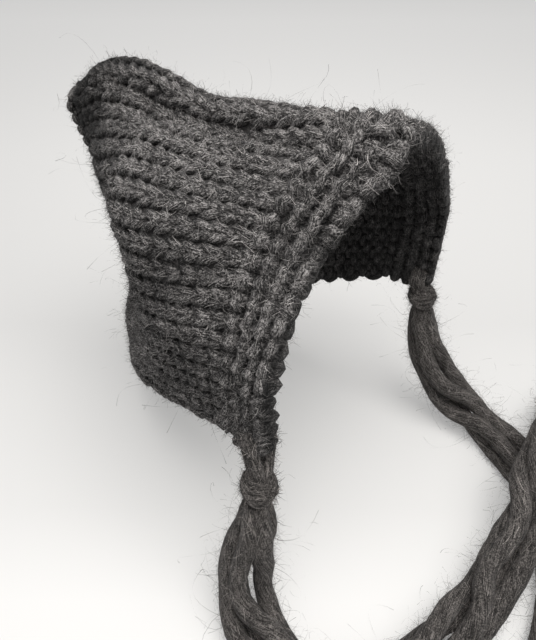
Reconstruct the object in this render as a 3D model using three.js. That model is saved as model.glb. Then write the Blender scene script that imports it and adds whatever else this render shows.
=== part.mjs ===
// A newborn's pixie hood, hand-knitted in bulky charcoal wool.
//
// The hood is one strip of knitting, folded over the head along the ridge and sewn together down
// the back, so its top back corner stands up as a soft peak. A garter-stitch band edges the face
// opening, and a knotted tie of thick unspun strands hangs from each front corner.
//
// Millimetres, +Z up. The origin is the seat, inside the top of the hood where the crown of a head
// carries it. The face looks along -Y, the peak points along +Y, and the wearer's right is -X.
import * as THREE from "three";
import { mergeVertices } from "three/addons/utils/BufferGeometryUtils.js";

// Sizes of the hood
const HOOD_DEPTH = 110;        // ridge, from the face edge to the tip of the peak
const HOOD_HALF_WIDTH = 45;    // middle to one side, at the face opening
const HOOD_HEIGHT = 100;       // top of the ridge to the lowest point of the neck edge
const KNIT_WALL = 4.6;         // stocking stitch in a bulky yarn
const BAND_WALL = 5.4;         // garter stitch stands thicker
const BAND_WIDTH = 14;         // face band, four garter ridges
const PIECE_GAP = 0.3;         // clearance between neighbouring pieces
const BAND_GAP = 0.7;          // between the band and the body, where folds bring their edges closer

// Sizes of the back seam
const SEAM_WIDTH = 8.6;        // across both layers
const SEAM_THICKNESS = 2.4;    // how far the sewn edge stands out behind them
const SEAM_FIRST_STEP = 1;     // the tip itself is the fold, one step of the wall above the seam

// Cross-section of the seam, from the layers (0) to its outside (1)
const SEAM_OUTLINE = [
  // across, out
  [-1.0, 0.0],
  [ 1.0, 0.0],
  [ 1.0, 0.6],
  [ 0.5, 1.0],
  [-0.5, 1.0],
  [-1.0, 0.6],
];

// Sizes of the ties
const TIE_DIAMETER = 12;       // a loose bundle of unspun strands
const TIE_SIDES = 10;
const TIE_STEP = 24;           // length of tie to one step of its tube
const TIE_STRAIGHT = 3;        // the tie leaves its knot straight for this length
const LOOP_DIAMETER = 7;       // strands drawn tight through the corner of the band
const RIGHT_LOOP_LENGTH = 6.2;
const LEFT_LOOP_LENGTH = 1.8;  // the left knot sits close under its corner
const KNOT_WIDTH = 8.6;        // overhand knot, across the tie
const KNOT_HEIGHT = 6;         // overhand knot, along the tie
const KNOT_SIDES = 16;
const KNOT_RINGS = 8;

// How finely the walls are divided
const STEPS_ALONG = 34;
const STEPS_ROUND = 54;
const BAND_STEPS = 4;
const TIE_REACH_BACK = 2;      // steps of the band that its tie draws in, from the face edge
const SLOPE_STEP = 0.01;       // share of the depth over which the cloth's slope is taken
const WELD_DISTANCE = 1e-4;    // points closer than this become one

// Sections of the folded strip, evenly spaced from the face edge to the back edge. Each section
// names points from the ridge down to the neck edge. A point is [along, out, up]: shares of
// HOOD_DEPTH from the seat, of HOOD_HALF_WIDTH from the middle, and of HOOD_HEIGHT from the seat.
const RIDGE = [
  // along,  out,    up
  [-0.391,  0.089,  0.136],   // face edge
  [-0.249,  0.030,  0.156],   // behind the band
  [-0.108,  0.000,  0.152],   // front of the seat
  [ 0.034,  0.000,  0.127],   // middle of the seat
  [ 0.175,  0.000,  0.130],   // back of the seat
  [ 0.317,  0.000,  0.158],   // hump in front of the peak
  [ 0.458,  0.000,  0.142],   // slope of the peak
  [ 0.600,  0.000,  0.055],   // back edge
];

const RIGHT_SECTIONS = [
  { gutter: [-0.385, 0.022, 0.078], crease: [-0.367, 0.100, 0.052], shoulder: [-0.339, 0.455, -0.075],
    flank: [-0.366, 0.872, -0.240], hem: [-0.385, 0.935, -0.430] },
  { gutter: [-0.249, 0.115, 0.098], crease: [-0.236, 0.190, 0.080], shoulder: [-0.222, 0.590, -0.058],
    flank: [-0.258, 0.845, -0.245], hem: [-0.270, 0.895, -0.464] },
  { gutter: [-0.108, 0.145, 0.076], crease: [-0.108, 0.228, 0.072], shoulder: [-0.100, 0.720, -0.015],
    flank: [-0.118, 0.868, -0.240], hem: [-0.118, 0.845, -0.532] },
  { gutter: [ 0.034, 0.145, 0.065], crease: [ 0.034, 0.224, 0.063], shoulder: [ 0.030, 0.722,  0.000],
    flank: [ 0.020, 0.815, -0.260], hem: [ 0.010, 0.800, -0.600] },
  { gutter: [ 0.175, 0.135, 0.070], crease: [ 0.175, 0.205, 0.064], shoulder: [ 0.172, 0.575,  0.000],
    flank: [ 0.160, 0.590, -0.280], hem: [ 0.138, 0.735, -0.658] },
  { gutter: [ 0.320, 0.115, 0.095], crease: [ 0.320, 0.168, 0.065], shoulder: [ 0.314, 0.405, -0.030],
    flank: [ 0.296, 0.385, -0.290], hem: [ 0.280, 0.568, -0.735] },
  { gutter: [ 0.462, 0.090, 0.080], crease: [ 0.462, 0.130, 0.045], shoulder: [ 0.450, 0.215, -0.080],
    flank: [ 0.410, 0.185, -0.330], hem: [ 0.392, 0.375, -0.782] },
  { gutter: [ 0.614, 0.060, 0.010], crease: [ 0.600, 0.062, -0.035], shoulder: [ 0.538, 0.064, -0.160],
    flank: [ 0.494, 0.064, -0.450], hem: [ 0.518, 0.068, -0.784] },
];

const LEFT_SECTIONS = [
  { gutter: [-0.391, 0.200, 0.134], crease: [-0.386, 0.300, 0.118], shoulder: [-0.375, 0.670,  0.008],
    flank: [-0.382, 0.960, -0.205], hem: [-0.391, 0.945, -0.452] },
  { gutter: [-0.249, 0.165, 0.125], crease: [-0.249, 0.255, 0.103], shoulder: [-0.252, 0.675,  0.000],
    flank: [-0.258, 0.930, -0.220], hem: [-0.264, 0.910, -0.475] },
  { gutter: [-0.108, 0.145, 0.095], crease: [-0.108, 0.228, 0.080], shoulder: [-0.112, 0.735,  0.000],
    flank: [-0.118, 0.885, -0.235], hem: [-0.118, 0.860, -0.538] },
  { gutter: [ 0.034, 0.145, 0.073], crease: [ 0.034, 0.224, 0.066], shoulder: [ 0.030, 0.740,  0.000],
    flank: [ 0.020, 0.842, -0.260], hem: [ 0.010, 0.812, -0.608] },
  { gutter: [ 0.175, 0.135, 0.072], crease: [ 0.175, 0.205, 0.064], shoulder: [ 0.172, 0.595,  0.000],
    flank: [ 0.160, 0.615, -0.280], hem: [ 0.138, 0.735, -0.662] },
  { gutter: [ 0.320, 0.115, 0.095], crease: [ 0.320, 0.168, 0.065], shoulder: [ 0.312, 0.385, -0.030],
    flank: [ 0.292, 0.375, -0.290], hem: [ 0.280, 0.563, -0.736] },
  { gutter: [ 0.462, 0.090, 0.080], crease: [ 0.462, 0.130, 0.045], shoulder: [ 0.445, 0.180, -0.080],
    flank: [ 0.406, 0.175, -0.330], hem: [ 0.392, 0.368, -0.782] },
  { gutter: [ 0.614, 0.060, 0.010], crease: [ 0.600, 0.062, -0.035], shoulder: [ 0.538, 0.064, -0.160],
    flank: [ 0.494, 0.064, -0.450], hem: [ 0.518, 0.068, -0.784] },
];

// Soft folds of the cloth. Each is an oval dent (or, with a minus sign, a swell) in the outside,
// placed by its shares of the depth (along) and of the strip from the right neck edge (0) over the
// ridge to the left one (1). Half sizes are shares of HOOD_DEPTH, and so is the depth of the dent.
const FOLDS = [
  { along: 0.05, round: 0.50, length: 0.050, width: 0.120, dent: -0.014 },   // roll of the face band
  { along: 0.84, round: 0.43, length: 0.085, width: 0.035, dent:  0.018 },   // hollow under the peak
  { along: 0.62, round: 0.40, length: 0.120, width: 0.030, dent: -0.010 },   // roll behind the crown
  { along: 0.30, round: 0.42, length: 0.200, width: 0.022, dent: -0.010 },   // crease beside the ridge
  { along: 0.88, round: 0.06, length: 0.080, width: 0.060, dent: -0.010 },   // swell at the neck corner
  { along: 0.74, round: 0.13, length: 0.180, width: 0.055, dent:  0.022 },   // waist above the neck edge
  { along: 0.84, round: 0.57, length: 0.085, width: 0.035, dent:  0.016 },   // left of the peak
  { along: 0.88, round: 0.94, length: 0.080, width: 0.060, dent: -0.010 },   // left neck corner
  { along: 0.74, round: 0.87, length: 0.180, width: 0.055, dent:  0.018 },   // left waist
];

// Routes of the ties: the middle of the bundle, from below its knot to its free end. They reach
// down to a level surface and lie on it, and the right one passes over the left one.
const RIGHT_TIE_ROUTE = [
  [-50.0, -44.4, -64.0], [-52.7, -43.8, -71.5], [-55.5, -44.7, -79.0], [-58.1, -47.8, -86.0],
  [-60.7, -53.3, -91.0], [-62.5, -61.3, -92.0], [-62.6, -70.9, -92.0], [-57.4, -80.6, -92.0],
  [-46.4, -87.6, -92.0], [-32.8, -92.3, -91.5], [-18.6, -96.0, -89.3], [-6.4, -97.4, -85.4],
  [5.3, -97.2, -81.2], [17.0, -96.0, -78.6], [29.0, -94.8, -77.6], [41.0, -93.8, -79.8],
  [52.0, -93.6, -84.8], [62.0, -94.2, -89.8], [72.0, -95.6, -92.0], [80.0, -97.2, -92.0],
];
const LEFT_TIE_ROUTE = [
  [41.2, -44.4, -62.5], [38.8, -48.8, -71.0], [38.6, -55.2, -78.5], [39.8, -61.8, -85.0],
  [39.9, -71.0, -90.6], [38.0, -78.0, -92.0], [34.6, -86.0, -92.0], [28.1, -95.7, -92.0],
  [18.1, -104.7, -92.0], [7.5, -110.5, -92.0], [-3.3, -113.9, -92.0], [-17.0, -115.6, -92.0],
  [-30.0, -116.0, -92.0], [-42.0, -115.0, -92.0],
];

// Finishes
const charcoalWool = new THREE.MeshStandardMaterial({ color: 0x3b3a3a, roughness: 0.95, metalness: 0 });
const bandWool = new THREE.MeshStandardMaterial({ color: 0x383737, roughness: 0.95, metalness: 0 });
const seamWool = new THREE.MeshStandardMaterial({ color: 0x333232, roughness: 0.95, metalness: 0 });
const tieWool = new THREE.MeshStandardMaterial({ color: 0x403c3a, roughness: 0.9, metalness: 0 });

// A point of a section, side +1 for the left of the wearer and -1 for the right
function sectionPoint([along, out, up], side) {
  return new THREE.Vector3(side * out * HOOD_HALF_WIDTH, along * HOOD_DEPTH, up * HOOD_HEIGHT);
}

// Lengthwise lines of the strip, from the right neck edge over the ridge to the left neck edge
const POINT_NAMES = ["hem", "flank", "shoulder", "crease", "gutter"];
const lengthwiseLines = [
  ...POINT_NAMES.map((name) => RIGHT_SECTIONS.map((section) => sectionPoint(section[name], -1))),
  RIDGE.map((point) => sectionPoint(point, 1)),
  ...POINT_NAMES.toReversed().map((name) => LEFT_SECTIONS.map((section) => sectionPoint(section[name], 1))),
].map((points) => new THREE.CatmullRomCurve3(points, false, "centripetal"));

// The curve of the strip across the head, at a share of the depth
function crossCurve(along) {
  const points = lengthwiseLines.map((line) => line.getPoint(along));
  return new THREE.CatmullRomCurve3(points, false, "centripetal");
}

// How far the folds bring the cloth out at a place on the strip
function foldHeight(along, round) {
  let height = 0;
  for (const fold of FOLDS) {
    const lengthwise = (along - fold.along) / fold.length;
    const crosswise = (round - fold.round) / fold.width;
    height -= fold.dent * HOOD_DEPTH * Math.exp(-(lengthwise ** 2) - crosswise ** 2);
  }
  return height;
}

// A grid of places on the strip, each with its point and its outward direction
function clothGrid(fromAlong, toAlong, stepsAlong, stepsRound) {
  const rows = [];
  for (let i = 0; i <= stepsAlong; i += 1) {
    const along = fromAlong + ((toAlong - fromAlong) * i) / stepsAlong;
    const curve = crossCurve(along);
    const curveAhead = crossCurve(Math.min(along + SLOPE_STEP, 1));
    const curveBehind = crossCurve(Math.max(along - SLOPE_STEP, 0));
    const row = [];
    for (let j = 0; j <= stepsRound; j += 1) {
      const round = j / stepsRound;
      const across = curve.getTangentAt(round);
      const lengthwise = curveAhead.getPointAt(round).sub(curveBehind.getPointAt(round)).normalize();
      const outward = across.clone().cross(lengthwise).normalize();
      const point = curve.getPointAt(round).addScaledVector(outward, foldHeight(along, round));
      row.push({ point, outward });
    }
    rows.push(row);
  }
  return rows;
}

// A closed wall of one thickness round a grid of places
function wallGeometry(rows, thickness) {
  const positions = [];
  for (const sign of [1, -1]) {
    for (const row of rows) {
      for (const place of row) {
        const corner = place.point.clone().addScaledVector(place.outward, (sign * thickness) / 2);
        positions.push(corner.x, corner.y, corner.z);
      }
    }
  }
  const wide = rows[0].length;
  const high = rows.length;
  const outer = (i, j) => i * wide + j;
  const inner = (i, j) => high * wide + i * wide + j;
  const faces = [];
  const quad = (a, b, c, d) => faces.push(a, c, b, a, d, c);
  for (let i = 0; i < high - 1; i += 1) {
    for (let j = 0; j < wide - 1; j += 1) {
      quad(outer(i, j), outer(i + 1, j), outer(i + 1, j + 1), outer(i, j + 1));
      quad(inner(i, j), inner(i, j + 1), inner(i + 1, j + 1), inner(i + 1, j));
    }
    quad(outer(i, 0), inner(i, 0), inner(i + 1, 0), outer(i + 1, 0));
    quad(outer(i, wide - 1), outer(i + 1, wide - 1), inner(i + 1, wide - 1), inner(i, wide - 1));
  }
  for (let j = 0; j < wide - 1; j += 1) {
    quad(outer(0, j), outer(0, j + 1), inner(0, j + 1), inner(0, j));
    quad(outer(high - 1, j), inner(high - 1, j), inner(high - 1, j + 1), outer(high - 1, j + 1));
  }
  const geometry = new THREE.BufferGeometry();
  geometry.setAttribute("position", new THREE.Float32BufferAttribute(positions, 3));
  geometry.setIndex(faces);
  geometry.computeVertexNormals();
  return geometry;
}

// A tube along a route, of a named number of sides
function tubeGeometry(points, diameter, sides, step) {
  const route = new THREE.CatmullRomCurve3(points, false, "centripetal");
  const section = new THREE.Shape();
  for (let i = 0; i < sides; i += 1) {
    const angle = (2 * Math.PI * i) / sides;
    const x = (diameter / 2) * Math.cos(angle);
    const y = (diameter / 2) * Math.sin(angle);
    if (i === 0) {
      section.moveTo(x, y);
    } else {
      section.lineTo(x, y);
    }
  }
  section.closePath();
  const steps = Math.max(2, Math.round(route.getLength() / step));
  const tube = new THREE.ExtrudeGeometry(section, { extrudePath: route, steps, curveSegments: 1 });
  tube.deleteAttribute("normal");
  tube.deleteAttribute("uv");
  return mergeVertices(tube, WELD_DISTANCE);
}

function addPiece(parent, name, geometry, material) {
  const mesh = new THREE.Mesh(geometry, material);
  mesh.name = name;
  parent.add(mesh);
  return mesh;
}

// Share of the depth that the face band takes, and the gap behind it
const bandShare = BAND_WIDTH / HOOD_DEPTH;
const gapShare = BAND_GAP / HOOD_DEPTH;

// The main wall, and its back edge for the seam
function bodyPiece(parent) {
  const rows = clothGrid(bandShare + gapShare / 2, 1, STEPS_ALONG, STEPS_ROUND);
  addPiece(parent, "hood_body", wallGeometry(rows, KNIT_WALL), charcoalWool);
  return rows[STEPS_ALONG];
}

// The face band, and its two ends at the neck edge for the ties
function bandPiece(parent) {
  const rows = clothGrid(0, bandShare - gapShare / 2, BAND_STEPS, STEPS_ROUND);
  addPiece(parent, "face_band", wallGeometry(rows, BAND_WALL), bandWool);
  return { right: rows.map((row) => row[0]), left: rows.map((row) => row[STEPS_ROUND]) };
}

// The sewn edge that joins the two layers down the back. Its steps are those of the wall's back
// edge, and each stands PIECE_GAP behind the farthest corner of the two layers there.
function seamPiece(parent, backEdge) {
  const half = (backEdge.length - 1) / 2;
  const pairs = [];
  for (let i = SEAM_FIRST_STEP; i <= half; i += 1) {
    pairs.push([backEdge[half - i], backEdge[half + i]]);
  }
  const middles = pairs.map(([right, left]) => right.point.clone().lerp(left.point, 0.5));
  const sides = SEAM_OUTLINE.length;
  const last = pairs.length - 1;
  const positions = [];
  pairs.forEach((pair, i) => {
    const before = middles[Math.max(i - 1, 0)];
    const after = middles[Math.min(i + 1, last)];
    const down = after.clone().sub(before).normalize();
    const back = new THREE.Vector3(1, 0, 0).cross(down).normalize();
    let reach = 0;
    for (const place of pair) {
      const middleReach = place.point.clone().sub(middles[i]).dot(back);
      reach = Math.max(reach, middleReach + Math.abs(place.outward.dot(back)) * (KNIT_WALL / 2));
    }
    for (const [across, out] of SEAM_OUTLINE) {
      const corner = middles[i].clone().addScaledVector(back, reach + PIECE_GAP + out * SEAM_THICKNESS);
      positions.push(corner.x + (across * SEAM_WIDTH) / 2, corner.y, corner.z);
    }
  });
  const faces = [];
  for (let i = 0; i < last; i += 1) {
    for (let k = 0; k < sides; k += 1) {
      const a = i * sides + k;
      const b = i * sides + ((k + 1) % sides);
      faces.push(a, b + sides, b, a, a + sides, b + sides);
    }
  }
  for (let k = 1; k < sides - 1; k += 1) {
    faces.push(0, k, k + 1);
    faces.push(last * sides, last * sides + k + 1, last * sides + k);
  }
  const geometry = new THREE.BufferGeometry();
  geometry.setAttribute("position", new THREE.Float32BufferAttribute(positions, 3));
  geometry.setIndex(faces);
  geometry.computeVertexNormals();
  addPiece(parent, "back_seam", geometry, seamWool);
}

// A knot, rounded along +Y
function knotGeometry() {
  const profile = [];
  for (let i = 0; i <= KNOT_RINGS; i += 1) {
    const angle = -Math.PI / 2 + (Math.PI * i) / KNOT_RINGS;
    profile.push(new THREE.Vector2((KNOT_WIDTH / 2) * Math.cos(angle), (KNOT_HEIGHT / 2) * Math.sin(angle)));
  }
  profile[0].x = 0;
  profile[KNOT_RINGS].x = 0;
  const knot = new THREE.LatheGeometry(profile, KNOT_SIDES);
  knot.deleteAttribute("normal");
  knot.deleteAttribute("uv");
  return mergeVertices(knot, WELD_DISTANCE);
}

// The drawn-in loop, the knot and the loose tie under one front corner of the band
function tiePieces(parent, bandEnd, sideName, loopLength, route) {
  const corner = bandEnd[0].point.clone().lerp(bandEnd[TIE_REACH_BACK].point, 0.5);
  const routePoints = route.map(([x, y, z]) => new THREE.Vector3(x, y, z));
  const towards = routePoints[0].clone().sub(corner).normalize();
  let reach = 0;
  for (const place of bandEnd.slice(0, TIE_REACH_BACK + 1)) {
    const wallReach = Math.abs(place.outward.dot(towards)) * (BAND_WALL / 2);
    reach = Math.max(reach, place.point.clone().sub(corner).dot(towards) + wallReach);
  }
  const loopTop = corner.clone().addScaledVector(towards, reach + PIECE_GAP);
  const knotTop = loopTop.clone().addScaledVector(towards, loopLength + PIECE_GAP);
  const knotMiddle = knotTop.clone().addScaledVector(towards, KNOT_HEIGHT / 2);
  const loopEnd = loopTop.clone().addScaledVector(towards, loopLength);
  const loopRoute = [loopTop, loopTop.clone().lerp(loopEnd, 0.5), loopEnd];
  const loop = tubeGeometry(loopRoute, LOOP_DIAMETER, TIE_SIDES, LOOP_DIAMETER);
  addPiece(parent, `tie_loop_${sideName}`, loop, tieWool);

  const knot = addPiece(parent, `tie_knot_${sideName}`, knotGeometry(), tieWool);
  knot.position.copy(knotMiddle);
  knot.quaternion.setFromUnitVectors(new THREE.Vector3(0, 1, 0), towards.clone().negate());

  const tieTop = knotMiddle.clone().addScaledVector(towards, KNOT_HEIGHT / 2 + PIECE_GAP);
  const tiePoints = [tieTop, tieTop.clone().addScaledVector(towards, TIE_STRAIGHT), ...routePoints];
  addPiece(parent, `tie_${sideName}`, tubeGeometry(tiePoints, TIE_DIAMETER, TIE_SIDES, TIE_STEP), tieWool);
}

const pixieHood = new THREE.Group();
const backEdge = bodyPiece(pixieHood);
const bandEnds = bandPiece(pixieHood);
seamPiece(pixieHood, backEdge);
tiePieces(pixieHood, bandEnds.right, "right", RIGHT_LOOP_LENGTH, RIGHT_TIE_ROUTE);
tiePieces(pixieHood, bandEnds.left, "left", LEFT_LOOP_LENGTH, LEFT_TIE_ROUTE);

export default pixieHood;
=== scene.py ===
import math

import bpy
import numpy as np
from mathutils import Matrix, Vector


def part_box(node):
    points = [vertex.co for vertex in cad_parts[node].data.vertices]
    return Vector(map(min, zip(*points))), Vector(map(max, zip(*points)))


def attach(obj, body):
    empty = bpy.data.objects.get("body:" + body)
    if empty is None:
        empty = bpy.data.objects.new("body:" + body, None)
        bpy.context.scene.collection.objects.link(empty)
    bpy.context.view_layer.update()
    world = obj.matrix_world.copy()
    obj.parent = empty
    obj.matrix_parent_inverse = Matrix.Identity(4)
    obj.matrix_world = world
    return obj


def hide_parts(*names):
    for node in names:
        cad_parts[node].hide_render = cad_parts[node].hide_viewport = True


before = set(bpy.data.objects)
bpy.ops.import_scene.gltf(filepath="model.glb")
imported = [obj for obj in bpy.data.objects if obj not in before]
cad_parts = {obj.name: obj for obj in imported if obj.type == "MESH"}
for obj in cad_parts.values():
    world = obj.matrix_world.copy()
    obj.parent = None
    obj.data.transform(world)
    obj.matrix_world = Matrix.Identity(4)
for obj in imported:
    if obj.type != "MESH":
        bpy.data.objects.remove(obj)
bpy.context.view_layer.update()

MM = 0.001

# Sizes of the hood, in millimetres
HOOD_DEPTH = 110
HOOD_HALF_WIDTH = 45
HOOD_HEIGHT = 100
BAND_WIDTH = 14
FLOOR = -98

# The camera, fitted to the photograph's frame of 536 by 640 pixels
CAMERA_PLACE = (-92.3, -81.7, 56.2)
CAMERA_RIGHT = (0.6225, -0.7826, 0.0)
CAMERA_UP = (0.5267, 0.4190, 0.7396)
CAMERA_LENS = 28.18
CAMERA_SENSOR = 36

# The backdrop's tones from far off to near the camera, a painted fall-off of the light, and the direction on
# the floor of nearer
FLOOR_NEARER = (-0.784, -0.620, 0.0)
FLOOR_TONES = [
    (0.08, 0.600), (0.60, 0.430), (0.82, 0.325), (0.875, 0.360), (0.930, 0.385), (0.965, 0.455),
]
FLOOR_REACH = (-0.7, 0.1)      # metres nearer than the origin where the tones begin and end
FLOOR_GLOW = 0.335
FLOOR_HALF = 4.0

# Studio light: place, target and size in metres, power and colour
ROOM_LIGHT = (0.98, 0.985, 1.0, 1.0)
ROOM_STRENGTH = 0.40
LAMPS = {
    "overhead": ((-0.01, -0.06, 0.34), (0.0, 0.0, 0.0), 0.34, 1.75, (1.0, 0.985, 0.97)),
    "softbox": ((-0.06, -0.34, 0.66), (-0.06, -0.20, -0.098), 0.7, 3.0, (1.0, 0.985, 0.96)),
    "near_fill": ((-0.60, -0.35, 0.40), (0.0, 0.0, -0.03), 0.5, 0.2, (1.0, 0.98, 0.95)),
}

# Sections of the folded strip: [along, out, up], shares of depth, half width and height
RIDGE = [
    (-0.391, 0.089, 0.136), (-0.249, 0.030, 0.156), (-0.108, 0.000, 0.152), (0.034, 0.000, 0.127),
    (0.175, 0.000, 0.130), (0.317, 0.000, 0.158), (0.458, 0.000, 0.142), (0.600, 0.000, 0.055),
]
# Lengthwise lines of each side, from the face edge to the back edge
RIGHT_LINES = {
    "gutter": [
        (-0.385, 0.022, 0.078), (-0.249, 0.115, 0.098), (-0.108, 0.145, 0.076), (0.034, 0.145, 0.065),
        (0.175, 0.135, 0.070), (0.320, 0.115, 0.095), (0.462, 0.090, 0.080), (0.614, 0.060, 0.010),
    ],
    "crease": [
        (-0.367, 0.100, 0.052), (-0.236, 0.190, 0.080), (-0.108, 0.228, 0.072), (0.034, 0.224, 0.063),
        (0.175, 0.205, 0.064), (0.320, 0.168, 0.065), (0.462, 0.130, 0.045), (0.600, 0.062, -0.035),
    ],
    "shoulder": [
        (-0.339, 0.455, -0.075), (-0.222, 0.590, -0.058), (-0.100, 0.720, -0.015), (0.030, 0.722, 0.0),
        (0.172, 0.575, 0.000), (0.314, 0.405, -0.030), (0.450, 0.215, -0.080), (0.538, 0.064, -0.160),
    ],
    "flank": [
        (-0.366, 0.872, -0.240), (-0.258, 0.845, -0.245), (-0.118, 0.868, -0.240), (0.020, 0.815, -0.260),
        (0.160, 0.590, -0.280), (0.296, 0.385, -0.290), (0.410, 0.185, -0.330), (0.494, 0.064, -0.450),
    ],
    "hem": [
        (-0.385, 0.935, -0.430), (-0.270, 0.895, -0.464), (-0.118, 0.845, -0.532), (0.010, 0.800, -0.600),
        (0.138, 0.735, -0.658), (0.280, 0.568, -0.735), (0.392, 0.375, -0.782), (0.518, 0.068, -0.784),
    ],
}
LEFT_LINES = {
    "gutter": [
        (-0.391, 0.200, 0.134), (-0.249, 0.165, 0.125), (-0.108, 0.145, 0.095), (0.034, 0.145, 0.073),
        (0.175, 0.135, 0.072), (0.320, 0.115, 0.095), (0.462, 0.090, 0.080), (0.614, 0.060, 0.010),
    ],
    "crease": [
        (-0.386, 0.300, 0.118), (-0.249, 0.255, 0.103), (-0.108, 0.228, 0.080), (0.034, 0.224, 0.066),
        (0.175, 0.205, 0.064), (0.320, 0.168, 0.065), (0.462, 0.130, 0.045), (0.600, 0.062, -0.035),
    ],
    "shoulder": [
        (-0.375, 0.670, 0.008), (-0.252, 0.675, 0.000), (-0.112, 0.735, 0.000), (0.030, 0.740, 0.0),
        (0.172, 0.595, 0.000), (0.312, 0.385, -0.030), (0.445, 0.180, -0.080), (0.538, 0.064, -0.160),
    ],
    "flank": [
        (-0.382, 0.960, -0.205), (-0.258, 0.930, -0.220), (-0.118, 0.885, -0.235), (0.020, 0.842, -0.260),
        (0.160, 0.615, -0.280), (0.292, 0.375, -0.290), (0.406, 0.175, -0.330), (0.494, 0.064, -0.450),
    ],
    "hem": [
        (-0.391, 0.945, -0.452), (-0.264, 0.910, -0.475), (-0.118, 0.860, -0.538), (0.010, 0.812, -0.608),
        (0.138, 0.735, -0.662), (0.280, 0.563, -0.736), (0.392, 0.368, -0.782), (0.518, 0.068, -0.784),
    ],
}
# Soft folds: (along, round, half length, half width, dent), all but round in shares of the depth
FOLDS = [
    (0.05, 0.50, 0.050, 0.120, -0.014),   # roll of the face band
    (0.84, 0.43, 0.085, 0.035, 0.018),    # hollow under the peak
    (0.62, 0.40, 0.120, 0.030, -0.010),   # roll behind the crown
    (0.30, 0.42, 0.200, 0.022, -0.010),   # crease beside the ridge
    (0.88, 0.06, 0.080, 0.060, -0.010),   # swell at the neck corner
    (0.74, 0.13, 0.180, 0.055, 0.022),    # waist above the neck edge
    (0.84, 0.57, 0.085, 0.035, 0.016),    # left of the peak
    (0.88, 0.94, 0.080, 0.060, -0.010),   # left neck corner
    (0.74, 0.87, 0.180, 0.055, 0.018),    # left waist
]

# Creases along the right of the ridge: (along, round, dent in millimetres), and their half width round
CREASES = [
    [(0.10, 0.430, 0.0), (0.155, 0.440, 0.8), (0.22, 0.448, 1.5), (0.28, 0.456, 1.1), (0.34, 0.460, 1.9),
     (0.41, 0.462, 1.2), (0.47, 0.463, 1.7), (0.535, 0.456, 2.2), (0.59, 0.461, 1.6), (0.66, 0.460, 2.4),
     (0.715, 0.468, 1.5), (0.795, 0.476, 2.6), (0.88, 0.478, 1.8), (1.0, 0.490, 0.6)],
    [(0.45, 0.425, 0.0), (0.55, 0.427, 0.9), (0.65, 0.432, 1.2), (0.755, 0.438, 1.2), (0.885, 0.453, 0.8),
     (1.0, 0.46, 0.2)],
]
CREASE_WIDTH = 0.017

# Routes of the ties from below the knot to the free end, in millimetres
TIE_ROUTES = {
    "right": [
        (-50.0, -44.4, -64.0), (-52.7, -43.8, -71.5), (-55.5, -44.7, -79.0), (-58.1, -47.8, -86.0),
        (-60.7, -53.3, -91.0), (-62.5, -61.3, -92.0), (-62.6, -70.9, -92.0), (-57.4, -80.6, -92.0),
        (-46.4, -87.6, -92.0), (-32.8, -92.3, -91.5), (-18.6, -96.0, -89.3), (-6.4, -97.4, -85.4),
        (5.3, -97.2, -81.2), (17.0, -96.0, -78.6), (29.0, -94.8, -77.6), (41.0, -93.8, -79.8),
        (52.0, -93.6, -84.8), (62.0, -94.2, -89.8), (72.0, -95.6, -92.0), (80.0, -97.2, -92.0),
    ],
    "left": [
        (41.2, -44.4, -62.5), (38.8, -48.8, -71.0), (38.6, -55.2, -78.5), (39.8, -61.8, -85.0),
        (39.9, -71.0, -90.6), (38.0, -78.0, -92.0), (34.6, -86.0, -92.0), (28.1, -95.7, -92.0),
        (18.1, -104.7, -92.0), (7.5, -110.5, -92.0), (-3.3, -113.9, -92.0), (-17.0, -115.6, -92.0),
        (-30.0, -116.0, -92.0), (-42.0, -115.0, -92.0),
    ],
}

# Knitting: courses run from one neck edge over the ridge to the other, wales from front to back
WALES = 37
BODY_COURSES = 24
BAND_COURSES = 6
LOOP_POINTS = 12
BODY_YARN = 1.36               # radius
BAND_YARN = 1.42
YARN_UNEVENNESS = 0.28
# Loops: swing and gather in wales and reach in courses, the rest in millimetres. Depth is how far a loop
# dips through the cloth, crown the wale's rise, ridge the course's, and shade lightens its painted pit shade.
BODY_LOOP = {"swing": 0.27, "reach": 0.80, "depth": 0.95, "gather": 0.045, "crown": 0.45, "ridge": 0.0,
             "shade": 0.0}
BAND_LOOP = {"swing": 0.20, "reach": 1.15, "depth": 1.5, "gather": 0.0, "crown": 0.45, "ridge": 0.33,
             "shade": -0.35}
STITCH_FACING = [1]
GARTER_FACING = [1, -1]
# By hand: how far a stitch strays along its course (wales), across it (courses) and out (millimetres)
STITCH_SHIFTS = (0.035, 0.05, 0.12)
BAND_UNEVENNESS = 2.4
BAND_EDGE = 0.6                # courses that the loops of its first course reach forwards at most
FREE_EDGE = 9.0                # no limit
TURN_OUT = 0.005               # share of the strip by which the yarn passes the neck edge where it turns
RIPPLES = 8
RIPPLE_HEIGHT = 0.13
RIDGE_RIPPLE = 0.10
RIPPLE_SWAY = 0.0007
FRONT_EDGE = 0.012             # shares of the depth where the knitting starts and ends
BACK_EDGE = 0.992

# The ridge: its place and half width round, where stitches stray more and the painted shade in the pits is
# lighter
RIDGE_ROUND = 0.46
RIDGE_WIDTH = 0.07
RIDGE_UNEVENNESS = 0.8
RIDGE_LIFT = 1.15              # millimetres by which its pits count as higher
# Painted shade in the hollow under the peak: its start and ramp along, its place and half width round, and
# its depth
PEAK_START = 0.55
PEAK_RAMP = 0.35
PEAK_ROUND = 0.42
PEAK_WIDTH = 0.15
PEAK_DROP = 1.7

# Heights in millimetres over or under the middle of the cloth between which the painted shade in its pits
# lightens
CLEAR_OF_CLOTH = 9.0
PIT_HEIGHTS = (0.3, 2.3)
PIT_SHADE = 0.14

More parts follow.
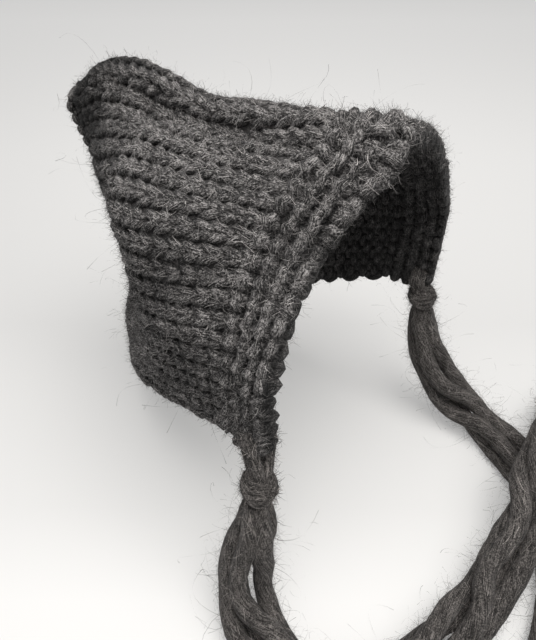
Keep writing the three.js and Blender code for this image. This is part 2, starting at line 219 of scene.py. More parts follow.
# Ties: their strands, and how far the middles of these lie from the middle of the tie (run, reach)
STRANDS = 4
STRAND_RADIUS = 2.7
STRAND_TWIST = 160.0
STRAND_START = -0.35
STRAND_FLATTENING = 0.72
STRAND_WAVES = (30.0, 60.0)    # shortest and longest, and how far they turn and spread a strand
STRAND_DRIFT = 0.22
STRAND_RISE = 0.09
STRAND_UNEVENNESS = 0.22
WRAP_UNEVENNESS = 0.2
TIE_SPREAD = {
    "right": ([0, 5, 12, 20, 27, 34, 42, 60, 220], [1.2, 1.6, 3.3, 4.5, 5.0, 4.7, 5.1, 4.4, 4.5]),
    "left": ([0, 6, 14, 24, 40, 60, 220], [1.2, 1.6, 3.2, 4.1, 4.7, 4.2, 4.4]),
}
TIE_STEP = 2.4
TIE_START = 3.0                # from the middle of the knot to its lower end
TIE_ENTRY = 3.3                # from there down to the route's next point
CORNER_DEPTH = 0.062           # share of the depth from the face edge to the end of the gathered corner
KNOT_STRANDS = 5
KNOT_RADIUS = 3.2
KNOT_PITCH = 1.2
KNOT_LEAN = 1.0
KNOT_TURNS = 1.15
KNOT_YARN = 1.35
DRAWN_STRANDS = 3
DRAWN_YARN = 1.35
DRAWN_PLACES = (0.030, 0.013)  # along: of the first strand, and from strand to strand
DRAWN_REACH = (0.016, 0.004)   # round: from the neck edge to the hole, and more for every other strand
DRAWN_HEIGHTS = (2.7, 3.3)     # outside the band, at its edge and at the hole
DRAWN_INSIDE = -2.6
DRAWN_RISE = 3.4               # above the middle of the knot, where the strands part
SEAM_PITCH = 4.6
SEAM_HALF = 3.3
SEAM_YARN = 1.0
SEAM_POINTS = 260
SEAM_SHARES = (0.012, 0.5)     # of the strip, from the ridge down to the neck edge
CHAIN_OUT = 1.4                # from the layer's edge to the middle of its chain
GROUND_STEPS = (32, 72)
GROUND_ALONG = (0.012, 0.985)
GROUND_ROUND = (0.008, 0.992)
GROUND_HALF = 0.45

# Yarn: the scale of its lumps for each metre, and its rounded ends (length in radii, width at the end)
LUMP_SCALE = 160.0
TAPER_LENGTH = 3.0
TAPER_END = 0.3

# Wool: noise scales for each metre, the shares of its patterns, and its shades from dark to light
HEATHER_SCALE = 260.0
FUZZ_SCALE = 2400.0
FELT_SCALE = 1500.0
STREAK_SHARE, HEATHER_SHARE, FUZZ_SHARE = 0.5, 0.15, 0.35
SHADE_STOPS = (0.42, 0.50, 0.59)
WOOL_SPECULAR = 0.25
SHEEN_ROUGHNESS = 0.45
CHARCOAL_SHADES = [(0.004, 0.0038, 0.0038), (0.034, 0.032, 0.0315), (0.32, 0.305, 0.297)]
TIE_SHADES = [(0.009, 0.0082, 0.0076), (0.042, 0.0383, 0.036), (0.19, 0.174, 0.164)]
SEAM_SHADES = [(0.004, 0.0038, 0.0038), (0.028, 0.0265, 0.026), (0.24, 0.23, 0.225)]
FELT_SHADES = [(0.35, (0.012, 0.011, 0.011)), (0.7, (0.05, 0.047, 0.046))]
CHARCOAL_FIBRE_SHADES = [
    (0.0, (0.006, 0.0055, 0.0055)), (0.42, (0.024, 0.0225, 0.022)), (0.60, (0.125, 0.119, 0.116)),
    (0.78, (0.36, 0.341, 0.331)), (1.0, (0.64, 0.606, 0.587)),
]
TIE_FIBRE_SHADES = [
    (0.0, (0.008, 0.0073, 0.0067)), (0.42, (0.034, 0.031, 0.029)), (0.62, (0.115, 0.106, 0.099)),
    (0.82, (0.29, 0.266, 0.250)), (1.0, (0.50, 0.456, 0.43)),
]
STRAY_FIBRE_SHADES = [(0.0, (0.02, 0.018, 0.017)), (1.0, (0.10, 0.088, 0.08))]
ALL_LIT = (-2.0, -1.0, 0.3)    # yarn that has no inner side

# Fibres: lengths in metres, lift and spread in shares of the yarn's own direction. Outside is the share
# of the yarn's surface that they grow on.
CLOSE_FIBRES = {"outside": 0.5, "Shortest": 0.0016, "Longest": 0.0036, "Width": 0.00010, "Steps": 4,
                "Lift": 0.0, "Spread": 0.30, "Curl": 0.0009, "Turn": 4.6, "Middle": 0.5, "Inside": 0.1}
STRAND_FIBRES = {"outside": 1.0, "Shortest": 0.0030, "Longest": 0.0085, "Width": 0.00007, "Steps": 4,
                 "Lift": 0.0, "Spread": 0.45, "Curl": 0.0010, "Turn": 4.2, "Middle": 0.5, "Inside": 0.0}
STRAY_FIBRES = {"outside": 0.5, "Shortest": 0.007, "Longest": 0.018, "Width": 0.00007, "Steps": 12,
                "Lift": 0.6, "Spread": 0.8, "Curl": 0.0032, "Turn": 5.5, "Middle": 0.05, "Inside": 0.1}
HALO_FIBRES = {"outside": 0.5, "Shortest": 0.0010, "Longest": 0.0045, "Width": 0.00006, "Steps": 9,
               "Lift": 0.45, "Spread": 0.9, "Curl": 0.0013, "Turn": 5.6, "Middle": 0.1, "Inside": 0.1}
LEAST_FACING = -0.1            # facing of the yarn's surface past which it is outside
SHADE_OF_FIBRE, SHADE_OF_LOCK, SHADE_BASE = 0.7, 1.1, 0.4
TURN_SHARES = (0.4, 1.3)
FIBRE_TAPER = 2.4
BODY_FIBRES = CLOSE_FIBRES | {"Width": 0.00009}
BAND_FIBRES = CLOSE_FIBRES | {"Longest": 0.0030, "Width": 0.00008, "Spread": 0.8}
SEAM_FIBRES = CLOSE_FIBRES | {"Inside": 1.0, "Spread": 0.7}
KNOT_FIBRES = CLOSE_FIBRES | {"Inside": 0.0, "Spread": 0.5}
LOOP_FIBRES = CLOSE_FIBRES | {"Inside": 0.0, "Spread": 0.7}
TIE_HALO = HALO_FIBRES | {"Inside": 0.0, "Longest": 0.0075, "Curl": 0.0020, "Turn": 6.5}
TIE_HAIRS = STRAY_FIBRES | {"Inside": 0.0}


class Value:
    """A socket of a node tree, with the arithmetic that the patterns use."""

    def __init__(self, maker, socket):
        self.maker, self.socket = maker, socket

    def use(self, operation, other=0.0):
        return self.maker("ShaderNodeMath", {"operation": operation}, {0: self, 1: other})

    def __add__(self, other):
        return self.use("ADD", other)

    def __sub__(self, other):
        return self.use("SUBTRACT", other)

    def __rsub__(self, other):
        return self.maker("ShaderNodeMath", {"operation": "SUBTRACT"}, {0: other, 1: self})

    def __mul__(self, other):
        return self.use("MULTIPLY", other)

    def __truediv__(self, other):
        return self.use("DIVIDE", other)

    def __gt__(self, other):
        return self.use("GREATER_THAN", other)

    __radd__, __rmul__ = __add__, __mul__


class Maker:
    """Adds nodes to one tree: type, settings and the values or links of the sockets."""

    def __init__(self, tree):
        self.tree = tree

    def __call__(self, kind, settings=None, inputs=None, out=0):
        node = self.tree.nodes.new(kind)
        for name, value in (settings or {}).items():
            if name == "stops":
                self._stops(node.color_ramp, value)
            else:
                setattr(node, name, value)
        for key, value in (inputs or {}).items():
            if isinstance(value, Value):
                self.tree.links.new(value.socket, node.inputs[key])
            else:
                node.inputs[key].default_value = value
        if out is None:
            return node
        return Value(self, node.outputs[out])

    @staticmethod
    def _stops(ramp, stops):
        while len(ramp.elements) < len(stops):
            ramp.elements.new(0.5)
        for element, (place, colour) in zip(ramp.elements, stops):
            element.position = place
            element.color = (*colour, 1.0)

    def vector(self, operation, first, second=(0.0, 0.0, 0.0), out=0):
        return self("ShaderNodeVectorMath", {"operation": operation}, {0: first, 1: second}, out)

    def feed(self, shader, **values):
        for name, value in values.items():
            self.tree.links.new(value.socket, shader.inputs[name.replace("_", " ")])

    def xyz(self, *parts):
        return self("ShaderNodeCombineXYZ", None, dict(enumerate(parts)))

    def scaled(self, vector, factor):
        return self("ShaderNodeVectorMath", {"operation": "SCALE"}, {0: vector, "Scale": factor})


def spline(points, places):
    """Centripetal Catmull-Rom curves: points (curve, point, 3), places (curve, place) from 0 to 1."""
    points = np.asarray(points, float)
    count = points.shape[1]
    first = 2 * points[:, :1] - points[:, 1:2]
    last = 2 * points[:, -1:] - points[:, -2:-1]
    padded = np.concatenate([first, points, last], axis=1)
    where = np.broadcast_to(places, (len(points), np.shape(places)[-1])) * (count - 1)
    cell = np.clip(where.astype(int), 0, count - 2)
    rest = (where - cell)[..., None]
    p = [np.take_along_axis(padded, (cell + i)[..., None], axis=1) for i in range(4)]
    d = [np.sqrt(np.maximum(np.linalg.norm(p[i + 1] - p[i], axis=2, keepdims=True), 1e-9)) for i in range(3)]
    start = (p[1] - p[0]) / d[0] - (p[2] - p[0]) / (d[0] + d[1]) + (p[2] - p[1]) / d[1]
    end = (p[2] - p[1]) / d[1] - (p[3] - p[1]) / (d[1] + d[2]) + (p[3] - p[2]) / d[2]
    start, end = start * d[1], end * d[1]
    square = 3 * (p[2] - p[1]) - 2 * start - end
    cube = 2 * (p[1] - p[2]) + start + end
    return p[1] + start * rest + square * rest**2 + cube * rest**3


def unit(vectors):
    return vectors / np.maximum(np.linalg.norm(vectors, axis=-1, keepdims=True), 1e-12)


class Cloth:
    """The middle surface of the folded strip, in millimetres. A place on it is the share of the depth from
    the face edge (along) and the share of the strip from the right neck edge to the left one (round)."""

    STEPS_ALONG, STEPS_ROUND, STEPS_CURVE = 160, 320, 240

    def __init__(self):
        along = np.linspace(0, 1, self.STEPS_ALONG + 1)
        self.round = np.linspace(0, 1, self.STEPS_ROUND + 1)
        names = ["hem", "flank", "shoulder", "crease", "gutter"]
        lines = [self._line(RIGHT_LINES[name], -1) for name in names]
        lines.append(self._line(RIDGE, 1))
        lines += [self._line(LEFT_LINES[name], 1) for name in reversed(names)]
        sections = spline(np.array(lines), along).transpose(1, 0, 2)
        finely = np.linspace(0, 1, self.STEPS_CURVE + 1)
        curve = spline(sections, finely)
        lengths = np.linalg.norm(np.diff(curve, axis=1), axis=2).cumsum(axis=1)
        lengths = np.concatenate([np.zeros((len(curve), 1)), lengths], axis=1)
        places = np.array([np.interp(self.round * row[-1], row, finely) for row in lengths])
        bare = spline(sections, places)
        self.points = bare + self._normals(bare) * self._folds(along[:, None], self.round[None, :])[..., None]
        self.normals = self._normals(self.points)

    @staticmethod
    def _line(points, side):
        return [(side * out * HOOD_HALF_WIDTH, along * HOOD_DEPTH, up * HOOD_HEIGHT)
                for along, out, up in points]

    @staticmethod
    def _normals(points):
        return unit(np.cross(np.gradient(points, axis=1), np.gradient(points, axis=0)))

    @staticmethod
    def _folds(along, round_):
        height = 0
        for at_along, at_round, length, width, dent in FOLDS:
            steps = ((along - at_along) / length) ** 2 + ((round_ - at_round) / width) ** 2
            height = height - dent * HOOD_DEPTH * np.exp(-steps)
        for crease in CREASES:
            places, rounds, dents = np.array(crease).T
            steps = ((round_ - np.interp(along, places, rounds)) / CREASE_WIDTH) ** 2
            height = height - np.interp(along, places, dents) * np.exp(-steps)
        return height

    def place(self, along, round_, height=0.0):
        """Points, and the outward directions there."""
        a, r = np.broadcast_arrays(np.asarray(along, float), np.asarray(round_, float))
        a, r = a * self.STEPS_ALONG, r * self.STEPS_ROUND
        i = np.clip(np.floor(a).astype(int), 0, self.STEPS_ALONG - 1)
        j = np.clip(np.floor(r).astype(int), 0, self.STEPS_ROUND - 1)
        u, v = (a - i)[..., None], (r - j)[..., None]

        def blend(grid):
            near = grid[i, j] * (1 - v) + grid[i, j + 1] * v
            far = grid[i + 1, j] * (1 - v) + grid[i + 1, j + 1] * v
            return near * (1 - u) + far * u

        out = unit(blend(self.normals))
        return blend(self.points) + out * np.asarray(height, float)[..., None], out


def linked(name, data):
    """A new object in the scene."""
    made = bpy.data.objects.new(name, data)
    bpy.context.scene.collection.objects.link(made)
    return made


def line_object(name, lines):
    """An object of open lines. Each line is (points in millimetres, the cloth's outward directions), and for
    a knit also the heights over the middle of the cloth, shifted for its painted pit shade."""
    mesh = bpy.data.meshes.new(name)
    points = np.concatenate([line[0] for line in lines]) * MM
    outs = np.concatenate([line[1] for line in lines]).astype(np.float32)
    heights = np.concatenate([
        line[2] if len(line) > 2 else np.full(len(line[0]), CLEAR_OF_CLOTH) for line in lines])
    heights = heights.astype(np.float32)
    edges, start = [], 0
    for line in lines:
        count = len(line[0])
        edges += [(start + i, start + i + 1) for i in range(count - 1)]
        start += count
    mesh.from_pydata(points.tolist(), edges, [])
    mesh.attributes.new("cloth_out", "FLOAT_VECTOR", "POINT").data.foreach_set("vector", outs.ravel())
    mesh.attributes.new("cloth_up", "FLOAT", "POINT").data.foreach_set("value", heights)
    return linked(name, mesh)


def geometry_tree(name, sockets):
    """An empty geometry tree with named inputs, {name: default}, where None stands for a material."""
    tree = bpy.data.node_groups.new(name, "GeometryNodeTree")
    tree.interface.new_socket("Geometry", in_out="OUTPUT", socket_type="NodeSocketGeometry")
    tree.interface.new_socket("Geometry", in_out="INPUT", socket_type="NodeSocketGeometry")
    kinds = {float: "NodeSocketFloat", int: "NodeSocketInt", type(None): "NodeSocketMaterial"}
    for label, default in sockets.items():
        socket = tree.interface.new_socket(label, in_out="INPUT", socket_type=kinds[type(default)])
        if default is not None:
            socket.default_value = default
    maker = Maker(tree)
    source = maker("NodeGroupInput", out=None)
    return maker, {socket.name: Value(maker, socket) for socket in source.outputs if socket.name}


def closed_tree(maker, geometry, material):
    """The tree with its end: real geometry in its material."""
    geometry = maker("GeometryNodeRealizeInstances", None, {0: geometry})
    geometry = maker("GeometryNodeSetMaterial", None, {"Geometry": geometry, "Material": material})
    maker("NodeGroupOutput", None, {0: geometry}, out=None)
    return maker.tree


def grown(tree, source, name, values):
    """The plain mesh that a tree makes from a source object, as a new piece."""
    modifier = source.modifiers.new("grow", "NODES")
    modifier.node_group = tree
    for item in tree.interface.items_tree:
        if item.in_out == "INPUT" and item.name in values:
            modifier[item.identifier] = values[item.name]
    source.update_tag()
    bpy.context.view_layer.update()
    graph = bpy.context.evaluated_depsgraph_get()
    mesh = bpy.data.meshes.new_from_object(source.evaluated_get(graph), preserve_all_data_layers=True,
                                           depsgraph=graph)
    source.modifiers.remove(modifier)
    mesh.name = name
    return linked(name, mesh)


def yarn_tree():
    """Sweeps a round yarn along open lines, and keeps for the finish its length, ring and direction."""
    maker, given = geometry_tree("swept_yarn", {
        "Radius": 0.0014, "Sides": 8, "Unevenness": 0.1, "Material": None})
    curve = maker("GeometryNodeMeshToCurve", None, {0: given["Geometry"]})
    curve = keep(maker, curve, "yarn_length", "FLOAT", maker("GeometryNodeSplineParameter", out="Length"))
    curve = keep(maker, curve, "yarn_way", "FLOAT_VECTOR", maker("GeometryNodeInputTangent"))
    lumps = maker("ShaderNodeTexNoise", None, {"Scale": LUMP_SCALE, "Detail": 1.0})
    run = maker("GeometryNodeSplineParameter", out="Length")
    rest = maker("GeometryNodeSplineLength", out="Length") - run
    nearest = run.use("MINIMUM", rest)
    taper = maker("ShaderNodeMapRange", None, {
        "Value": nearest, "From Min": 0.0, "From Max": TAPER_LENGTH * given["Radius"],
        "To Min": TAPER_END, "To Max": 1.0}, out="Result")
    width = taper * (1.0 + given["Unevenness"] * (2.0 * lumps - 1.0))
    ring = maker("GeometryNodeCurvePrimitiveCircle", None, {
        "Resolution": given["Sides"], "Radius": given["Radius"]})
    ring = keep(maker, ring, "yarn_ring", "FLOAT_VECTOR", maker("GeometryNodeInputPosition"))
    tube = maker("GeometryNodeCurveToMesh", None, {"Curve": curve, "Profile Curve": ring, "Scale": width,
                                                   "Fill Caps": True})
    # Kept for the painted shade: facing, which also tells where fibres grow, and the surface's height over
    # the cloth's middle
    normal = maker("GeometryNodeInputNormal")
    facing = maker.vector("DOT_PRODUCT", normal, named(maker, "cloth_out", "FLOAT_VECTOR"), out="Value")
    tube = keep(maker, tube, "facing", "FLOAT", facing)
    height = named(maker, "cloth_up", "FLOAT") + facing * given["Radius"] / MM
    tube = keep(maker, tube, "cloth_up", "FLOAT", height.use("ABSOLUTE"))
    tube = maker("GeometryNodeSetShadeSmooth", None, {0: tube})
    return closed_tree(maker, tube, given["Material"])


def keep(maker, geometry, name, kind, value):
    """Stores a value on the points under a name."""
    return maker("GeometryNodeStoreNamedAttribute", {"data_type": kind, "domain": "POINT"},
                 {"Geometry": geometry, "Name": name, "Value": value})


def named(maker, name, kind):
    return maker("GeometryNodeInputNamedAttribute", {"data_type": kind}, {"Name": name})


def random(maker, kind, low, high, seed):
    """A random value of each point, by kind FLOAT, FLOAT_VECTOR or BOOLEAN (low is then the chance)."""
    inputs, out = {"FLOAT": ({2: low, 3: high}, 1), "FLOAT_VECTOR": ({0: low, 1: high}, 0),
                   "BOOLEAN": ({6: low}, 3)}[kind]
    return maker("FunctionNodeRandomValue", {"data_type": kind}, {**inputs, "Seed": seed}, out)


def fibre_tree():
    """Fibres that lie along the yarn they grow from, or stand off it, as thin curled ribbons."""
    maker, given = geometry_tree("wool_fibres", {
        "Density": 1e5, "Seed": 1, "Shortest": 0.003, "Longest": 0.006, "Width": 0.0001, "Steps": 4,
        "Lift": 0.2, "Spread": 0.5, "Curl": 0.0015, "Turn": 3.0, "Middle": 0.5, "Rise": 0.0001,
        "Locks": 900.0, "Inside": 0.1, "Material": None})
    seed = given["Seed"]
    chance = (named(maker, "facing", "FLOAT") > LEAST_FACING) + given["Inside"]
    scatter = maker("GeometryNodeDistributePointsOnFaces", {"distribute_method": "RANDOM"}, {
        "Mesh": given["Geometry"], "Density": given["Density"] * chance, "Seed": seed}, out=None)
    points, normal = Value(maker, scatter.outputs["Points"]), Value(maker, scatter.outputs["Normal"])
    along = maker.scaled(named(maker, "yarn_way", "FLOAT_VECTOR"),
                         2.0 * random(maker, "BOOLEAN", 0.5, None, seed + 1.0) - 1.0)
    stray = maker.scaled(random(maker, "FLOAT_VECTOR", (-1.0, -1.0, -1.0), (1.0, 1.0, 1.0), seed + 2.0),
                         given["Spread"])
    way = maker.vector("ADD", maker.vector("ADD", along, stray), maker.scaled(normal, given["Lift"]))
    turn = maker("FunctionNodeAlignRotationToVector", {"axis": "Z"}, {"Vector": way})
    points = keep(maker, points, "fibre_up", "FLOAT_VECTOR", normal)
    locks = maker("ShaderNodeTexNoise", None, {"Scale": given["Locks"], "Detail": 1.0})
    shade = SHADE_OF_FIBRE * random(maker, "FLOAT", 0.0, 1.0, seed + 3.0) + SHADE_OF_LOCK * locks
    shade = shade - SHADE_BASE
    points = keep(maker, points, "fibre_shade", "FLOAT", shade)
    for name, offset in (("bend_one", 4.0), ("bend_two", 5.0)):
        bend = random(maker, "FLOAT_VECTOR", (-1.0, -1.0, -1.0), (1.0, 1.0, 1.0), seed + offset)
        points = keep(maker, points, name, "FLOAT_VECTOR", bend)
    bend = given["Turn"] * random(maker, "FLOAT", *TURN_SHARES, seed + 6.0)
    points = keep(maker, points, "bend_turn", "FLOAT", bend)
    length = random(maker, "FLOAT", given["Shortest"], given["Longest"], seed + 7.0)
    middle = given["Middle"]
    straight = maker("GeometryNodeCurvePrimitiveLine", None, {
        "Start": maker.xyz(0.0, 0.0, 0.0 - middle), "End": maker.xyz(0.0, 0.0, 1.0 - middle)})
    straight = maker("GeometryNodeResampleCurve", None, {"Curve": straight, "Count": given["Steps"]})
    hairs = maker("GeometryNodeInstanceOnPoints", None, {
        "Points": points, "Instance": straight, "Rotation": turn,
        "Scale": maker.xyz(length, length, length)})
    hairs = maker("GeometryNodeRealizeInstances", None, {0: hairs})
    share = maker("GeometryNodeSplineParameter", out="Factor")
    turned = (share - middle) * named(maker, "bend_turn", "FLOAT")
    first_way, second_way = (named(maker, name, "FLOAT_VECTOR") for name in ("bend_one", "bend_two"))
    wave = maker.vector("ADD", maker.scaled(first_way, given["Curl"] * turned.use("SINE")),
                        maker.scaled(second_way, given["Curl"] * (1.0 - turned.use("COSINE"))))
    away = share - middle
    upward = named(maker, "fibre_up", "FLOAT_VECTOR")
    wave = maker.vector("ADD", wave, maker.scaled(upward, given["Rise"]))
    hairs = maker("GeometryNodeSetPosition", None, {"Geometry": hairs, "Offset": wave})
    placed = maker("GeometryNodeInputPosition")
    hairs = maker("GeometryNodeSetPosition", None, {
        "Geometry": hairs, "Position": maker.vector("MAXIMUM", placed, (-9.0, -9.0, (FLOOR + 0.1) * MM))})
    hairs = maker("GeometryNodeSetCurveNormal", {"mode": "FREE"}, {"Curve": hairs, "Normal": upward})
    flat = maker("GeometryNodeCurvePrimitiveLine", None, {
        "Start": maker.xyz(0.0, -0.5 * given["Width"]), "End": maker.xyz(0.0, 0.5 * given["Width"])})
    ribbons = maker("GeometryNodeCurveToMesh", None, {"Curve": hairs, "Profile Curve": flat,
                                                      "Scale": 1.0 - FIBRE_TAPER * away * away})
    return closed_tree(maker, ribbons, given["Material"])


def new_material(name, roughness, sheen):
    material = bpy.data.materials.new(name)
    material.use_nodes = True
    shader = material.node_tree.nodes["Principled BSDF"]
    for socket, value in {"Roughness": roughness, "Specular IOR Level": WOOL_SPECULAR,
                          "Sheen Weight": sheen, "Sheen Roughness": SHEEN_ROUGHNESS}.items():
        shader.inputs[socket].default_value = value
    return material, Maker(material.node_tree), shader


def attribute(maker, name, out):
    return maker("ShaderNodeAttribute", {"attribute_type": "GEOMETRY", "attribute_name": name}, out=out)


def noise(maker, place, scale, detail, roughness=0.6):
    return maker("ShaderNodeTexNoise", None, {
        "Vector": place, "Scale": scale, "Detail": detail, "Roughness": roughness})


def inner_shade(maker, low, high, least):
    """Painted shade: a darker colour on what faces the inside of the cloth, and on what lies in the pits
    between stitches.
    """
    facing = maker("ShaderNodeMapRange", {"interpolation_type": "SMOOTHSTEP"}, {
        "Value": attribute(maker, "facing", "Fac"), "From Min": low, "From Max": high,
        "To Min": least, "To Max": 1.0}, out="Result")
    height = maker("ShaderNodeMapRange", {"interpolation_type": "SMOOTHSTEP"}, {
        "Value": attribute(maker, "cloth_up", "Fac"), "From Min": PIT_HEIGHTS[0], "From Max": PIT_HEIGHTS[1],
        "To Min": PIT_SHADE, "To Max": 1.0}, out="Result")
    return facing * height


def wool_material(name, shades, twist=220.0, streak=650.0, fine=8000.0, inner=(-0.25, 0.6, 0.30)):
    """Yarn of heathered fibres, which run along it with a slight twist."""
    material, maker, shader = new_material(name, 0.9, 0.04)
    length = attribute(maker, "yarn_length", "Fac")
    ring = attribute(maker, "yarn_ring", "Vector")
    turned = maker("ShaderNodeVectorRotate", {"rotation_type": "Z_AXIS"}, {
        "Vector": ring, "Angle": length * twist})
    lengthwise = maker.xyz(0.0, 0.0, length * streak)
    place = maker.vector("ADD", maker.scaled(turned, fine), lengthwise)
    solid = maker("ShaderNodeTexCoord", out="Object")
    streaks = noise(maker, place, 1.0, 2.0)
    heather = noise(maker, solid, HEATHER_SCALE, 3.0)
    fuzz = noise(maker, solid, FUZZ_SCALE, 2.0)
    tone = STREAK_SHARE * streaks + HEATHER_SHARE * heather + FUZZ_SHARE * fuzz
    colour = maker("ShaderNodeValToRGB", {"stops": list(zip(SHADE_STOPS, shades))}, {0: tone})
    # Painted shade: the colour is darker on inward faces and in the pits between stitches
    colour = maker.scaled(colour, inner_shade(maker, *inner))
    bump = maker("ShaderNodeBump", None, {"Strength": 0.6, "Distance": 0.0006, "Height": streaks})
    maker.feed(shader, Base_Color=colour, Normal=bump)
    return material


def fibre_material(name, stops, inner=(-0.6, 0.1, 0.3)):
    """Loose fibres, each of its own shade."""
    material, maker, shader = new_material(name, 0.75, 0.0)
    shade = attribute(maker, "fibre_shade", "Fac")
    colour = maker("ShaderNodeValToRGB", {"stops": stops}, {0: shade})
    # Painted shade, as on the yarn: darker on inward faces and in the pits between stitches
    colour = maker.scaled(colour, inner_shade(maker, *inner))
    maker.feed(shader, Base_Color=colour)
    return material


def ground_material():
    """The felted inside of the knit, seen between its stitches."""
    material, maker, shader = new_material("felted_ground", 0.95, 0.2)
    solid = maker("ShaderNodeTexCoord", out="Object")
    fuzz = noise(maker, solid, FELT_SCALE, 3.0, 0.7)
    colour = maker("ShaderNodeValToRGB", {"stops": FELT_SHADES}, {0: fuzz})
    bump = maker("ShaderNodeBump", None, {"Strength": 0.5, "Distance": 0.0004, "Height": fuzz})
    maker.feed(shader, Base_Color=colour, Normal=bump)
    return material


def floor_material():
    material, maker, shader = new_material("pale_paper", 0.9, 0.0)
    shader.inputs["Emission Strength"].default_value = FLOOR_GLOW
    shader.inputs["Emission Color"].default_value = (1.0, 0.995, 0.985, 1.0)
    solid = maker("ShaderNodeTexCoord", out="Object")
    # Painted light: the colour brightens from far off to near the camera, standing in for the lamps' fall-off
    nearer = maker.vector("DOT_PRODUCT", solid, FLOOR_NEARER, out="Value")
    share = (nearer - FLOOR_REACH[0]) / (FLOOR_REACH[1] - FLOOR_REACH[0])
    stops = [(place, (tone, 0.99 * tone, 0.97 * tone)) for place, tone in FLOOR_TONES]
    colour = maker("ShaderNodeValToRGB", {"stops": stops}, {0: share})
    maker.feed(shader, Base_Color=colour)
    return material


def make_camera():
    camera = bpy.data.cameras.new("camera")
    camera.lens, camera.sensor_width, camera.sensor_fit = CAMERA_LENS, CAMERA_SENSOR, "AUTO"
    camera.clip_start, camera.clip_end = 0.005, 10.0
    right, up = Vector(CAMERA_RIGHT).normalized(), Vector(CAMERA_UP).normalized()
    turn = Matrix((right, up, right.cross(up))).transposed().to_4x4()
    made = linked("camera", camera)
    made.matrix_world = Matrix.Translation(Vector(CAMERA_PLACE) * MM) @ turn
    bpy.context.scene.camera = made


def make_floor(material):
    mesh = bpy.data.meshes.new("floor")
    corners = ((-1, -1), (1, -1), (1, 1), (-1, 1))
    mesh.from_pydata([(x * FLOOR_HALF, y * FLOOR_HALF, FLOOR * MM) for x, y in corners], [], [(0, 1, 2, 3)])
    mesh.materials.append(material)
    linked("floor", mesh)


def area_light(name, place, target, size, power, colour):
    light = bpy.data.lights.new(name, "AREA")
    light.shape, light.size, light.energy, light.color = "DISK", size, power, colour
    made = linked(name, light)
    made.location = place
    made.rotation_mode = "QUATERNION"
    made.rotation_quaternion = (Vector(target) - Vector(place)).to_track_quat("-Z", "Y")


def make_light():
    scene = bpy.context.scene
    scene.view_settings.view_transform = "Standard"
    world = bpy.data.worlds.new("studio")
    world.use_nodes = True
    background = world.node_tree.nodes["Background"]
    background.inputs["Color"].default_value = ROOM_LIGHT
    background.inputs["Strength"].default_value = ROOM_STRENGTH
    scene.world = world
    for name, lamp in LAMPS.items():
        area_light(name, *lamp)


def hand_made(rng, courses, amount):
    """Small random shifts of each stitch, one row of the table for each course."""
    return rng.normal(0.0, amount, (courses, WALES + 2))


def hill(round_, middle, width):
    """1 at the middle of a stretch round the strip, and falling to nothing on both sides."""
    return np.exp(-((round_ - middle) / width) ** 2)


def near_ridge(round_):
    return hill(round_, RIDGE_ROUND, RIDGE_WIDTH)


def shade_lift(along, round_):
    """Painted shade: lighter pits along the ridge, and darker ones in the hollow under the peak."""
    peak = np.clip((along - PEAK_START) / PEAK_RAMP, 0.0, 1.0)
    hollow = peak * hill(round_, PEAK_ROUND, PEAK_WIDTH)
    return RIDGE_LIFT * near_ridge(round_) * (1.0 - peak) - PEAK_DROP * hollow


def course_line(along, pitch, loop, facing, shifts, edge):
    """One course of loops from the right neck edge to the left one: shares along and round, and heights.
    Its loops reach no more than the edge, in courses, towards the face."""
    turns = np.linspace(0, 2 * math.pi * WALES, WALES * LOOP_POINTS + 1)
    stitch = turns / (2 * math.pi)
    uneven = 1.0 + RIDGE_UNEVENNESS * near_ridge(stitch / WALES)
    wales = np.arange(WALES + 2) - 0.5
    sideways, lengthwise, depth = (uneven * np.interp(stitch, wales, row) for row in shifts)
    across = stitch + loop["swing"] * np.sin(2 * turns) + sideways
    forward = loop["reach"] * np.cos(turns) + lengthwise
    forward = np.where(forward < 0, edge * np.tanh(forward / edge), forward)
    height = -facing * (loop["depth"] * np.cos(2 * turns) + loop["ridge"]) + depth
    height = height + loop["crown"] * np.cos(2 * math.pi * across)
    across = across - loop["gather"] * np.sin(2 * math.pi * across)
    return along + forward * pitch, across / WALES, height


def neck_turn(end, start, outwards):
    """The short bend of the yarn past the neck edge, from one course to the next."""
    share = np.array([0.25, 0.5, 0.75])
    bend = end + (start - end) * share
    bend[1] += outwards * TURN_OUT * np.sin(math.pi * share)
    return bend


def rippled(path, rng):
    """Slow waves in the height and the sway of the yarn, larger at the ridge."""
    for _ in range(RIPPLES):
        way, phase = rng.uniform(-9.0, 9.0, 2), rng.uniform(0, 2 * math.pi)
        ripple = np.sin(2 * math.pi * (way[0] * path[0] * 0.5 + way[1] * path[1]) + phase)
        path[2] += (RIPPLE_HEIGHT + RIDGE_RIPPLE * near_ridge(path[1])) * ripple
        path[1] += RIPPLE_SWAY * ripple
    return path


def knit_lines(cloth, first, last, courses, loop, facings, seed, uneven=1.0, edge=FREE_EDGE):
    """The yarn of several courses in one line that turns at each neck edge."""
    rng = np.random.default_rng(seed)
    pitch = (last - first) / courses
    tables = [hand_made(rng, courses, uneven * amount) for amount in STITCH_SHIFTS]
    parts = []
    for course in range(courses):
        along = first + (course + 0.5) * pitch
        shifts = [table[course] for table in tables]
        facing = facings[course % len(facings)]
        row = np.array(course_line(along, pitch, loop, facing, shifts, FREE_EDGE if course else edge))
        if course % 2:
            row = row[:, ::-1]
        if parts:
            parts.append(neck_turn(parts[-1][:, -1:], row[:, :1], 1.0 if course % 2 else -1.0))
        parts.append(row)
    path = rippled(np.concatenate(parts, axis=1), rng)
    points, outs = cloth.place(*path)
    # Heights for the painted pit shade: the real ones, raised or lowered by the loop's shade and by
    # shade_lift
    return [(points, outs, path[2] + loop["shade"] + shade_lift(path[0], path[1]))]


def travelled(points):
    """How far along a line each of its points is."""
    return np.concatenate([[0.0], np.linalg.norm(np.diff(points, axis=0), axis=1).cumsum()])


